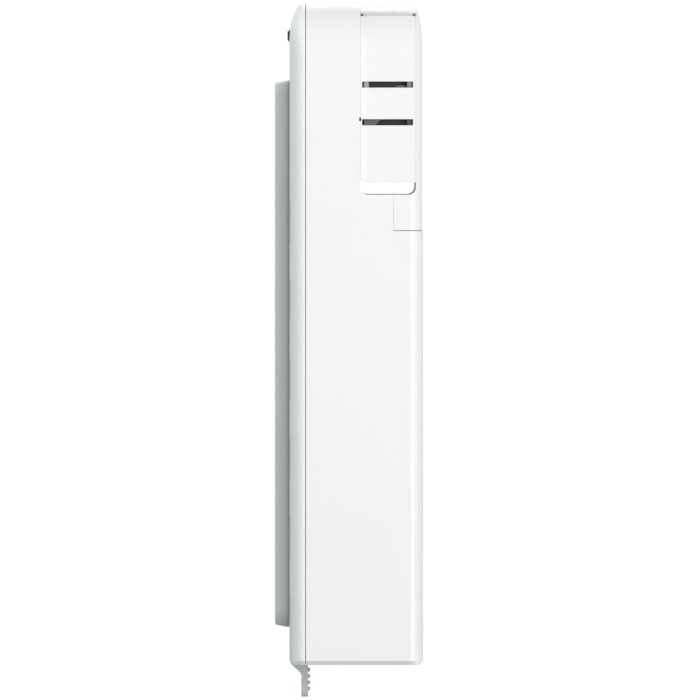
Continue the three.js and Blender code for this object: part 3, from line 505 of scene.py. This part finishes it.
def lever_plastic():
    finish = Finish("lever_plastic", (211, 217, 217), 0.48)
    finish.mottle(25, 0.3, (202, 208, 209))
    finish.hollow_shade(4, 0.3, (110, 114, 114))
    finish.wear(0.8, 0.3, (222, 226, 226))
    finish.rough_patches(8, 0.08)
    finish.bump(finish.noise(0.6, 3.0), 0.03)
    return finish.done(IOR=1.46)


def knob_plastic():
    """The isolator's knob, a middle grey that shows behind the upper louvre."""
    finish = Finish("knob_plastic", (128, 132, 133), 0.45)
    finish.mottle(10, 0.3, (118, 122, 123))
    finish.wear(0.8, 0.3, (156, 160, 160))
    finish.rough_patches(6, 0.06)
    finish.bump(finish.noise(0.6, 3.0), 0.03)
    return finish.done(IOR=1.46)


def seal_rubber():
    finish = Finish("seal_rubber", (92, 96, 98), 0.75)
    finish.mottle(12, 0.5, (76, 80, 82))
    finish.bump(finish.noise(0.7, 4.0), 0.05)
    return finish.done(IOR=1.5)


def dark_rubber():
    finish = Finish("dark_rubber", (58, 60, 62), 0.7)
    finish.mottle(8, 0.5, (72, 74, 76))
    finish.bump(finish.noise(0.5, 4.0), 0.05)
    return finish.done(IOR=1.5)


def black_plastic():
    finish = Finish("black_plastic", (46, 48, 49), 0.5)
    finish.mottle(18, 0.5, (54, 56, 57))
    finish.rough_patches(6, 0.1)
    finish.round_edges(0.6)
    finish.bump(finish.noise(0.7, 3.0), 0.05)
    return finish.done(IOR=1.5)


def dark_grey_plastic():
    finish = Finish("dark_grey_plastic", (70, 72, 74), 0.48)
    finish.mottle(14, 0.5, (82, 84, 86))
    finish.rough_patches(6, 0.1)
    finish.round_edges(0.5)
    finish.bump(finish.noise(0.7, 3.0), 0.04)
    return finish.done(IOR=1.5)


def red_plastic():
    finish = Finish("red_plastic", (172, 34, 28), 0.28)
    finish.mottle(5, 0.4, (150, 26, 22))
    finish.rough_patches(3, 0.08)
    finish.round_edges(0.5)
    return finish.done(IOR=1.5, Coat_Weight=0.4)


def light_pipe():
    finish = Finish("light_pipe", (206, 236, 228), 0.22)
    finish.mottle(10, 0.3, (188, 226, 216))
    finish.bump(finish.noise(2.5, 2.0), 0.03)
    return finish.done(IOR=1.49, Emission_Color=(0.55, 0.95, 0.82, 1), Emission_Strength=0.25)


def zinc_plate():
    finish = Finish("zinc_plate", (168, 172, 174), 0.38, 1.0)
    flakes = finish.node("ShaderNodeTexVoronoi")
    finish.wire(finish.place, flakes.inputs["Vector"])
    flakes.inputs["Scale"].default_value = 1 / (9 * MM)
    finish.tint(finish.ramp(flakes.outputs["Distance"], 0.0, 0.8, 0.0, 0.5), (138, 144, 150))
    finish.rough_patches(12, 0.12)
    finish.round_edges(0.5)
    return finish.done()


def turned_steel():
    finish = Finish("turned_steel", (188, 190, 192), 0.26, 1.0)
    finish.mottle(4, 0.4, (150, 152, 156))
    finish.rough_patches(2, 0.1)
    finish.round_edges(0.3)
    return finish.done()


def brushed_aluminium():
    finish = Finish("brushed_aluminium", (200, 203, 206), 0.34, 1.0)
    brushing = finish.noise(1.0, 4.0, finish.stretched(1, 1, 0.02))
    finish.tint(finish.ramp(brushing, 0.3, 0.7, 0.0, 0.35), (160, 164, 168))
    finish.bump(brushing, 0.02)
    finish.rough_patches(15, 0.08)
    return finish.done()


def cell_film():
    finish = Finish("cell_film", (38, 92, 158), 0.32)
    finish.mottle(30, 0.4, (30, 76, 136))
    finish.bump(finish.noise(7, 3.0), 0.06)
    finish.round_edges(1.5)
    return finish.done(IOR=1.5, Coat_Weight=0.5)


def copper():
    finish = Finish("copper", (196, 122, 78), 0.3, 1.0)
    finish.mottle(14, 0.6, (146, 84, 56))
    finish.rough_patches(8, 0.15)
    finish.round_edges(0.4)
    return finish.done()


def circuit_board():
    finish = Finish("circuit_board", (26, 86, 56), 0.35)
    traces = finish.node("ShaderNodeTexBrick")
    finish.wire(finish.place, traces.inputs["Vector"])
    traces.inputs["Scale"].default_value = 1 / (16 * MM)
    finish.tint(finish.math("MULTIPLY", traces.outputs["Fac"], 0.5), (70, 140, 90))
    finish.mottle(20, 0.4, (18, 66, 42))
    return finish.done(IOR=1.5, Coat_Weight=0.4)


def glazed_ceramic():
    finish = Finish("glazed_ceramic", (226, 220, 206), 0.25)
    finish.mottle(12, 0.5, (208, 200, 184))
    finish.bump(finish.noise(4, 3.0), 0.04)
    return finish.done(IOR=1.5, Coat_Weight=0.5)


# ---- Outlines of the case ----
def case_outline(inset, lift):
    """The case seen from the front, drawn in by "inset": round shoulders and a chamfered foot."""
    half = HALF_WIDTH - inset
    radius = SHOULDER - inset
    right = arc(CENTRE_X, CENTRE_Z, radius, 0, 90, SHOULDER_STEPS)
    left = [(-x, z) for x, z in reversed(right)]
    left_foot = [(-half, lift + FOOT), (-half + FOOT, lift)]
    right_foot = [(half - FOOT, lift), (half, lift + FOOT)]
    return [*right, *left, *left_foot, *right_foot]


def case_prism(inset, d0, d1):
    return loft([(d0, case_outline(inset, inset)), (d1, case_outline(inset, inset))])


def ring(outer, inner, d0, d1):
    return cut(case_prism(outer, d0, d1), case_prism(inner, d0 - 1, d1 + 1))


def front_body(back, front, wall):
    """The case from "back" forward, soft front edge included, drawn in by "wall" all round."""
    face = front - wall
    sections = [(back, case_outline(wall, wall))]
    for i in range(EDGE_STEPS + 1):
        angle = math.radians(90 * i / EDGE_STEPS)
        d = FRONT_EDGE + (face - FRONT_EDGE) * math.sin(angle)
        inset = wall + FRONT_DRAW * (1 - math.cos(angle))
        sections.append((d, case_outline(inset, wall + max(0, FOOT - (face - d)))))
    return loft(sections)


def rear_body(wall, front):
    """The rear shell's soft bowl, drawn in by "wall"."""
    back = REAR_BACK + wall
    sections = []
    for i in range(EDGE_STEPS + 1):
        angle = math.radians(90 * i / EDGE_STEPS)
        d = REAR_FRONT - (REAR_FRONT - back) * math.cos(angle)
        inset = wall + REAR_DRAW * (1 - math.sin(angle))
        sections.append((d, case_outline(inset, wall + max(0, FOOT - (d - back)))))
    if front > REAR_FRONT:
        sections.append((front, case_outline(wall, wall)))
    return loft(sections)


def crown(angle, d0, d1):
    """Everything above the two radial lines at "angle" through the shoulder centres."""
    c, s = math.cos(math.radians(angle)), math.sin(math.radians(angle))
    near, far = 30, 120
    right = [(CENTRE_X + reach * c, CENTRE_Z + reach * s) for reach in (near, far)]
    left = [(-x, z) for x, z in reversed(right)]
    return prism([*right, *left], "d", d0, d1)


def window(back, front, x0, x1):
    """The side window, open upwards, with round lower corners."""
    top = HEIGHT + 20
    low = BAY_BOTTOM + BAY_CORNER
    outline = [
        (back, top),
        *arc(back + BAY_CORNER, low, BAY_CORNER, 180, 270, 10),
        *arc(front - BAY_CORNER, low, BAY_CORNER, 270, 360, 10),
        (front, top),
    ]
    return prism(outline, "x", x0, x1)


def top_band(d0, d1):
    """The strip over the top from one flap's hinge to the other's, set in as far as the flaps."""
    return keep(ring(INSET, INSET + HOUSING_WALL, d0, d1), crown(BAND_START, d0 - 1, d1 + 1))


# ---- Fine shells ----
def rear_shell(material):
    pocket_half, pocket_top, pocket_depth, pocket_wall = 52, 98, 40.5, 2
    shell = cut(rear_body(0, REAR_FRONT), rear_body(REAR_WALL, REAR_FRONT + 1))
    outer = pocket_half + pocket_wall
    block = box(-outer, outer, REAR_BACK + 1, pocket_depth + pocket_wall - GAP, 1, pocket_top + pocket_wall)
    join(shell, block, ring(*FLANGE, REAR_FRONT - 2, REAR_FRONT))
    cut(shell, box(-pocket_half, pocket_half, REAR_BACK - 1, pocket_depth, -1, pocket_top))
    cut(shell, *air_pockets(), *plug_holes())
    return stand_for(shell, "rear_shell", material)


def air_pockets():
    """Shallow steps along the shell's wall-side edge, at an even pitch; the lowest runs out at the foot."""
    tall, pitch, first, count, depth, inner = 55.6, 111, 38, 6, 2.3, 228
    made = []
    for x0, x1 in ((inner, HALF_WIDTH), (-HALF_WIDTH, -inner)):
        for i in range(count):
            z = first + i * pitch
            low = -1 if i == 0 else z
            made.append(box(x0, x1, REAR_BACK - 1, REAR_BACK + depth, low, z + tall))
    return made


def plug_holes():
    (x0, x1), _, (z0, z1) = node_box("rear_plug_right")
    x, z = (x0 + x1) / 2, (z0 + z1) / 2
    return [rod("d", REAR_BACK - 1, REAR_BACK + 20, side * x, z, (x1 - x0) / 2 - 2) for side in (1, -1)]


def stop_slots():
    """The short slots in the jamb for the flaps' rubber stops."""
    inner = HALF_WIDTH - STOP_DEEP
    spans = ((inner, WIDE), (-WIDE, -inner))
    return [box(x0, x1, BAY_BACK - STOP_WIDE, BAY_BACK + 1, STOP_BOTTOM, STOP_TOP) for x0, x1 in spans]


def main_housing(material):
    back = SEAL_FRONT - SEAL_SQUEEZE + 0.05
    shell = cut(front_body(back, HOUSING_FRONT, 0), front_body(back - 1, HOUSING_FRONT, HOUSING_WALL))
    join(shell, ring(*FLANGE, back, back + 2))
    under_cover = COVER_BOTTOM - COVER_SEAM / 2
    cover_zone = box(-WIDE, WIDE, COVER_BACK - SEAM, HOUSING_FRONT + 1, under_cover, HEIGHT + 1)
    cut(shell, cover_zone, window(BAY_BACK, HOUSING_FRONT + 30, -WIDE, WIDE))
    jamb_zone = box(-WIDE, WIDE, BAY_BACK - 4, BAY_BACK + 1, BAY_BOTTOM - 8, HEIGHT + 1)
    jamb = keep(ring(*JAMB, BAY_BACK - 3, BAY_BACK), jamb_zone)
    join(shell, jamb, top_band(BAY_BACK - 1, COVER_BACK - SEAM))
    cut(shell, *stop_slots())
    return stand_for(shell, "main_housing", material)


def upper_cover(material):
    shell = cut(front_body(100, COVER_FRONT, 0), front_body(99, COVER_FRONT, HOUSING_WALL))
    keep(shell, box(-WIDE, WIDE, COVER_BACK, COVER_FRONT + 1, COVER_BOTTOM + COVER_SEAM / 2, HEIGHT + 1))
    cut(shell, window(BAY_BACK, BAY_FRONT, -WIDE, WIDE))
    join(shell, top_band(COVER_BACK, BAY_FRONT + 1), *(ear(side) for side in (1, -1)))
    light_half, margin = 45, 4
    low, high = LIGHT_BOTTOM + margin, LIGHT_TOP - margin
    cut(shell, box(-light_half, light_half, COVER_FRONT - 8, COVER_FRONT + 1, low, high))
    return stand_for(shell, "upper_cover", material)


def ear(side):
    """The cover's inner lug, with an open slot that slides over the side screw."""
    _, (d0, d1), (z0, z1) = node_box("cover_screw_right")
    d, z = (d0 + d1) / 2, (z0 + z1) / 2
    inner, outer = 259, 261.5
    half_tall, behind, slot, joins_cover = 10, 6, 2.7, 5.1
    x0, x1 = sorted((side * inner, side * outer))
    lug = box(x0, x1, d - behind, COVER_FRONT - joins_cover, z - half_tall, z + half_tall)
    return cut(lug, box(x0 - 1, x1 + 1, d - behind - 1, d + slot, z - slot, z + slot))


def sector(start, end, d0, d1):
    """A wedge between two angles about the right shoulder's centre; 0 takes in the straight side too."""
    far = 400

    def at(angle):
        turn = math.radians(angle)
        return CENTRE_X + far * math.cos(turn), CENTRE_Z + far * math.sin(turn)

    low = [(CENTRE_X, FLAP_BOTTOM), (CENTRE_X + far, FLAP_BOTTOM)] if start == 0 else [at(start)]
    return prism([*low, at(end), (CENTRE_X, CENTRE_Z)], "d", d0, d1)


def flap(side, node, material):
    """One louvred flap, drawn for the +x side and mirrored for the other."""
    lug, barrel, tall = 3, 3, 5
    inner = INSET + FLAP_SHEET
    knuckle = (FLAP_BACK + lug + GAP, FLAP_FRONT - lug - GAP)
    edges = (BAY_BACK + SEAM, BAY_FRONT - SEAM)
    panel = keep(ring(INSET, inner, *edges), sector(0, PANEL_END, *edges))
    neck = keep(ring(INSET, inner, *knuckle), sector(PANEL_END - 2, PIN_ANGLE, *knuckle))
    join(panel, neck, rod("d", *knuckle, *PIN, barrel))
    for d0, d1 in RIB_SPANS:
        rib = keep(ring(inner - 0.5, inner + tall, d0, d1), sector(0, PANEL_END - 6, d0, d1))
        join(panel, keep(rib, box(0, WIDE, d0, d1, RIB_BOTTOM, HEIGHT)))
    gusset_low, gusset_high, gusset_back = FLAP_BOTTOM + 68.5, FLAP_BOTTOM + 91.5, FLAP_BACK + 8.1
    gusset_front = gusset_back + gusset_high - gusset_low
    gusset = [(gusset_back, gusset_low), (gusset_front, gusset_high), (gusset_back, gusset_high)]
    join(panel, prism(gusset, "x", HALF_WIDTH - inner - tall, HALF_WIDTH - inner + 0.5))
    for bottom, past in LOUVRES:
        cut(panel, slot_cutter(bottom, HALF_WIDTH - inner - past))
    nick = 6  # the chamfer at the foot of the flap's wall-side edge
    corner = [
        (BAY_BACK - 1, FLAP_BOTTOM - 1),
        (BAY_BACK + nick, FLAP_BOTTOM - 1),
        (BAY_BACK + nick, FLAP_BOTTOM),
        (BAY_BACK, FLAP_BOTTOM + nick),
        (BAY_BACK - 1, FLAP_BOTTOM + nick),
    ]
    notch = box(HALF_WIDTH - 12, WIDE, BAY_BACK - 1, BAY_BACK + 0.9, STOP_BOTTOM, STOP_TOP)
    cut(panel, prism(corner, "x", 0, WIDE), rod("d", BAY_BACK, BAY_FRONT, *PIN, 1.9, 24), notch)
    if side < 0:
        panel.data.transform(Matrix.Scale(-1, 4, (1, 0, 0)))
        panel.data.flip_normals()
    return stand_for(panel, node, material, soft=0.3)


def slot_cutter(bottom, x0):
    """One louvre slot, with tiny round corners."""
    back, front, high, r = FLAP_BACK + 1.5, FLAP_FRONT - 2.9, LOUVRE_HIGH, 0.8
    outline = [
        *arc(back + r, bottom + r, r, 180, 270, 4),
        *arc(front - r, bottom + r, r, 270, 360, 4),
        *arc(front - r, bottom + high - r, r, 0, 90, 4),
        *arc(back + r, bottom + high - r, r, 90, 180, 4),
    ]
    return prism(outline, "x", x0, WIDE)


def plate_outline(inset):
    """The wall plate seen from the front, drawn in by "inset"."""
    full_radius = 24
    half = PLATE_HALF - inset
    radius = full_radius - inset
    top, bottom = PLATE_TOP - inset - radius, PLATE_BOTTOM + inset + radius
    steps = 14
    return [
        *arc(half - radius, top, radius, 0, 90, steps),
        *arc(-half + radius, top, radius, 90, 180, steps),
        *arc(-half + radius, bottom, radius, 180, 270, steps),
        *arc(half - radius, bottom, radius, 270, 360, steps),
    ]


def wall_plate(material):
    sheet = 2.5
    # Both lists run from the wall towards the room, each entry a depth and the inset there.
    rim = [(0, 7), (0.5, 5.4), (1.5, 4), (2.9, 3.2), (4.5, 2.8), (PLATE_DEPTH, 0)]
    plate = loft([(d, plate_outline(inset)) for d, inset in rim])
    inside = [(sheet, 7), (sheet + 2.5, 2.8 + sheet), (PLATE_DEPTH + 1, sheet)]
    cut(plate, loft([(d, plate_outline(inset)) for d, inset in inside]))
    hanger_half, lip_back, lip_front, hanger_z, shelf_top, lip_top = 170, 9, 12, 690, 694, 712
    shelf = box(-hanger_half, hanger_half, sheet - 0.5, lip_front, hanger_z, shelf_top)
    lip = box(-hanger_half, hanger_half, lip_back, lip_front, hanger_z, lip_top)
    ledge_half, ledge_front, ledge_bottom, ledge_top = 38, 16, 80, 84
    ledge = box(-ledge_half, ledge_half, sheet - 0.5, ledge_front, ledge_bottom, ledge_top)
    join(plate, shelf, lip, ledge)
    bolt_x, bolt_zs, bolt_radius = 150, (110, 770), 5
    for x in (-bolt_x, bolt_x):
        cut(plate, *(rod("d", -1, sheet + 1, x, z, bolt_radius, 24) for z in bolt_zs))
    return stand_for(plate, "wall_plate", material)


def neck_curve():
    """The lever's rear edge, easing forward from the pocket's back to the blade's back."""
    pocket_back, blade_back, top, bottom, steps = 21.2, 37, 1, -20.8, 20
    points = []
    for i in range(steps, -1, -1):
        share = i / steps
        ease = (1 - math.cos(share * math.pi)) / 2
        points.append((pocket_back + (blade_back - pocket_back) * ease, top + (bottom - top) * share))
    return points


def release_lever(material):
    pivot_d, pivot_z, tip_corner, blade_front = 28, 14, 9, 46.6
    catch = [(22.5, 8.5), (22.5, 68), (12, 75), (12, 78.5), (22.5, 78.5), (22.5, 86), (29, 86)]
    front = [(29, 26), (35, 20), (35, 8), (38.8, 0.5), (38.8, -3.2), (43.8, -4.6)]
    shoulder = arc(blade_front - 4.2, -9.2, 4.2, 66, 0, 8)
    tip = [(blade_front, LEVER_TIP), (37, LEVER_TIP)]
    half = LEVER_HALF
    lever = prism([*catch, *front, *shoulder, *tip, *neck_curve()], "x", -half, half)
    ridge_d, first_ridge, ridge_pitch, ridge_radius, ridge_margin = 47.8, -12.7, 8.9, 1.9, 6
    for i in range(4):
        z = first_ridge - i * ridge_pitch
        join(lever, rod("x", -half + ridge_margin, half - ridge_margin, ridge_d, z, ridge_radius, 32))
    blade = [
        (-half - 1, 100),
        (-half - 1, 0),
        (-half, 0),
        *arc(-half + tip_corner, LEVER_TIP + tip_corner, tip_corner, 180, 270, 12),
        *arc(half - tip_corner, LEVER_TIP + tip_corner, tip_corner, 270, 360, 12),
        (half, 0),
        (half + 1, 0),
        (half + 1, 100),
    ]
    keep(lever, prism(blade, "d", 0, 70))
    cut(lever, rod("x", -half - 1, half + 1, pivot_d, pivot_z, 3.3, 24))
    return stand_for(lever, "release_lever", material, soft=0.5)


def case_seal(material):
    outer, inner = 0.8, 5.8
    seal = ring(outer, inner, SEAL_BACK, SEAL_FRONT - SEAL_SQUEEZE)
    return stand_for(seal, "case_seal", material, soft=0)


# ---- Put it together ----
white = case_plastic()
flap_white = flap_plastic()
rubber = dark_rubber()
steel = turned_steel()
zinc = zinc_plate()
black = black_plastic()
dark_grey = dark_grey_plastic()
aluminium = brushed_aluminium()
copper_metal = copper()
board = circuit_board()
film = cell_film()

rear_shell(rear_paint())
main_housing(white)
upper_cover(white)
flap(1, "right_flap", flap_white)
flap(-1, "left_flap", flap_white)
wall_plate(plate_powder_coat())
release_lever(lever_plastic())
case_seal(seal_rubber())

for side_name in ("left", "right"):
    dress(f"rear_plug_{side_name}", rubber, 0.5)
    dress(f"hanger_hook_{side_name}", zinc, 0.4)
    dress(f"case_screw_{side_name}", steel, 0.2)
    dress(f"cover_screw_{side_name}", steel, 0.2)
    dress(f"{side_name}_flap_pin", steel)
    dress(f"{side_name}_hinge_rail", dark_grey, 0.3)
    for row in ("lower", "upper"):
        dress(f"{row}_end_plate_{side_name}", aluminium, 0.4)
for row in ("lower", "upper"):
    dress(f"{row}_contact_board", copper_metal, 0.2)
for number in range(1, 17):
    dress(f"cell_{number:02d}", film, 1.0)
for node in ("lever_pin", "lever_spring"):
    dress(node, steel)
for node in ("wiring_tray", "chassis"):
    dress(node, zinc)
for node in ("switch_plate", "port_panel", "isolator_body", "main_contactor"):
    dress(node, black, 0.4)
dress("isolator_knob", knob_plastic(), 0.6)
dress("ac_terminals", dark_grey, 0.4)
dress("power_button", red_plastic(), 0.5)
dress("status_light", light_pipe(), 0.2)
dress("earth_bar", copper_metal, 0.3)
dress("filter_choke", copper_metal)
dress("heat_sink", aluminium)
for node in ("inverter_board", "bms_board"):
    dress(node, board, 0.2)
dress("main_fuse", glazed_ceramic(), 0.4)


# ---- Studio, in metres and watts ----
FLOOR_RADIUS = 7.0


def studio_floor():
    """A plain pale disc below the unit."""
    drop = 0.35  # metres of air under the lever's tip
    shape = bmesh.new()
    bmesh.ops.create_circle(shape, cap_ends=True, radius=FLOOR_RADIUS, segments=96)
    floor = from_bmesh("studio_floor", shape)
    floor.location.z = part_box("release_lever")[0].z - drop
    finish = Finish("floor_paint", (166, 166, 167), 0.6)
    finish.mottle(900, 0.3, (161, 162, 163))
    finish.bump(finish.noise(30, 3.0), 0.2)
    floor.data.materials.append(finish.done())


def softbox(name, centre, size, power):
    """A soft light that faces the middle of the unit and isn't seen itself."""
    light = bpy.data.lights.new(name, "AREA")
    light.shape = "RECTANGLE"
    light.size, light.size_y = size
    light.energy = power
    lamp = bpy.data.objects.new(name, light)
    lamp.location = centre
    target = Vector((0, -0.1, 0))
    lamp.rotation_euler = (target - Vector(centre)).to_track_quat("-Z", "Y").to_euler()
    bpy.context.scene.collection.objects.link(lamp)
    lamp.visible_camera = False


def studio_world(fill, overhead):
    """White to the camera; for the rest a softer fill that dims to "overhead" of itself at the top."""
    camera_white = 1.05  # just over 1, so that the background comes out pure white
    world = bpy.data.worlds.new("studio")
    world.use_nodes = True
    nodes, links = world.node_tree.nodes, world.node_tree.links
    background = nodes["Background"]
    rays = nodes.new("ShaderNodeLightPath")
    direction = nodes.new("ShaderNodeTexCoord")
    split = nodes.new("ShaderNodeSeparateXYZ")
    links.new(direction.outputs["Generated"], split.inputs[0])
    dim = nodes.new("ShaderNodeMapRange")
    dim.inputs["To Min"].default_value = fill
    dim.inputs["To Max"].default_value = fill * overhead
    links.new(split.outputs["Z"], dim.inputs["Value"])
    strength = nodes.new("ShaderNodeMix")
    links.new(dim.outputs[0], strength.inputs[2])
    strength.inputs[3].default_value = camera_white
    links.new(rays.outputs["Is Camera Ray"], strength.inputs[0])
    links.new(strength.outputs[0], background.inputs["Strength"])
    bpy.context.scene.world = world
    background.inputs["Color"].default_value = (1, 1, 1, 1)


def studio_camera():
    """Looks at the unit's left side from far off, from EYE_DEPTH and EYE_HEIGHT."""
    frame_side = 0.98  # metres of the object's plane across the picture
    middle_d, middle_z = 105.4, 6  # the picture's middle: mm from the wall, and above the origin
    data = bpy.data.cameras.new("camera")
    data.sensor_width = 36
    data.lens = 1200
    distance = frame_side / 2 / (data.sensor_width / 2 / data.lens)
    data.clip_start, data.clip_end = 1, 100
    camera = bpy.data.objects.new("camera", data)
    bpy.context.scene.collection.objects.link(camera)
    near_side = -HALF_WIDTH * MM
    middle = Vector((near_side, -middle_d * MM, middle_z * MM))
    eye = place(-HALF_WIDTH, EYE_DEPTH, EYE_HEIGHT) - Vector((distance, 0, 0))
    camera.location = eye
    camera.rotation_euler = (middle - eye).to_track_quat("-Z", "Y").to_euler()
    bpy.context.scene.camera = camera


studio_floor()
# The four low lights stand past the floor's edge, because one that cuts the floor draws a hard line on it.
softbox("front_box", (-4.8, -7.1, 1.2), (4.0, 5.0), 212)
softbox("front_side_box", (-7.2, -4.3, 0.6), (3.2, 5.0), 238)
softbox("side_box", (-8.0, -0.1, 0.0), (6.0, 6.0), 76)
softbox("far_top_box", (3.0, -0.1, 3.0), (2.0, 2.0), 42)
softbox("back_top_box", (0.5, 3.2, 2.6), (2.0, 2.0), 45)
softbox("back_side_box", (-6.4, 4.9, 0.0), (4.0, 4.0), 62)
studio_world(0.68, 0.5)
studio_camera()
bpy.context.scene.view_settings.view_transform = "Standard"
